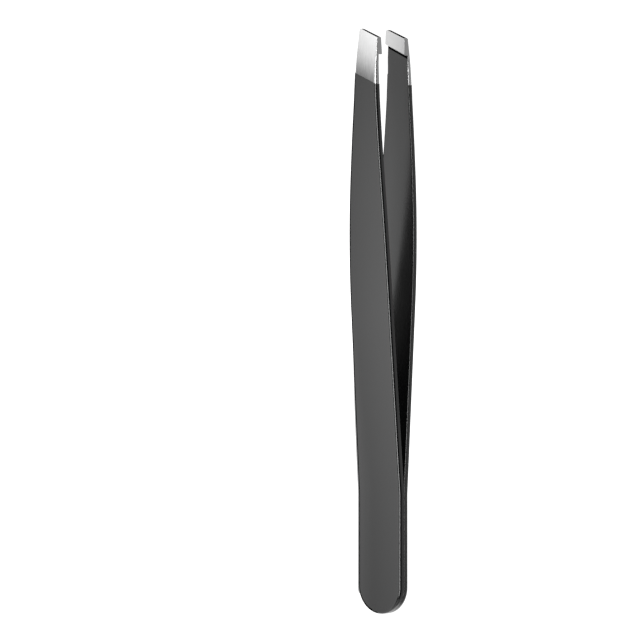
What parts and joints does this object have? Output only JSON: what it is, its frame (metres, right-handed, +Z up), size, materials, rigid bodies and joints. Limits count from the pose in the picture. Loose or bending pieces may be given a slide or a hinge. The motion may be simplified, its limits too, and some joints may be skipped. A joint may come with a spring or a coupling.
{
  "type": "slant tweezers",
  "caption": "Spring tweezers of two flared, bowed strips welded flat at a rounded tail, lacquered black, with bare ground tips cut at a slant.",
  "frame": {"origin": "middle of the footprint, on the surface that the tweezers lie on with their long edges down", "axes": "+X along the tweezers from the tips to the welded tail; Y is the squeezing direction, with the mirror plane between the arms at Y = 0; +Z up, across the width of the strips"},
  "size_m": [0.096, 0.0098, 0.009],
  "materials": {
    "bare_steel": "fine lengthways brushing",
    "black_lacquer": "satin"
  },
  "bodies": {
    "tail": {"tail_lacquer": "black_lacquer", "front_arm_tail": "bare_steel", "back_arm_tail": "bare_steel", "weld_nuggets": "bare_steel"},
    "front_arm": {"front_arm_blade": "bare_steel", "front_blade_lacquer": "black_lacquer"},
    "back_arm": {"back_arm_blade": "bare_steel", "back_blade_lacquer": "black_lacquer"}
  },
  "joints": [
    {"name": "front_flex", "type": "hinge", "parent": "tail", "child": "front_arm", "pos_m": [0.022, -0.00103, 0.00448], "axis": [0, 0, -1], "range_deg": [0, 2.5], "stiffness_Nm_per_rad": 3},
    {"name": "back_flex", "type": "hinge", "parent": "tail", "child": "back_arm", "pos_m": [0.022, 0.00103, 0.00448], "axis": [0, 0, 1], "range_deg": [0, 2.5], "stiffness_Nm_per_rad": 3}
  ],
  "couplings": [
    {"joint": "back_flex", "follows": "front_flex", "ratio": 1}
  ]
}
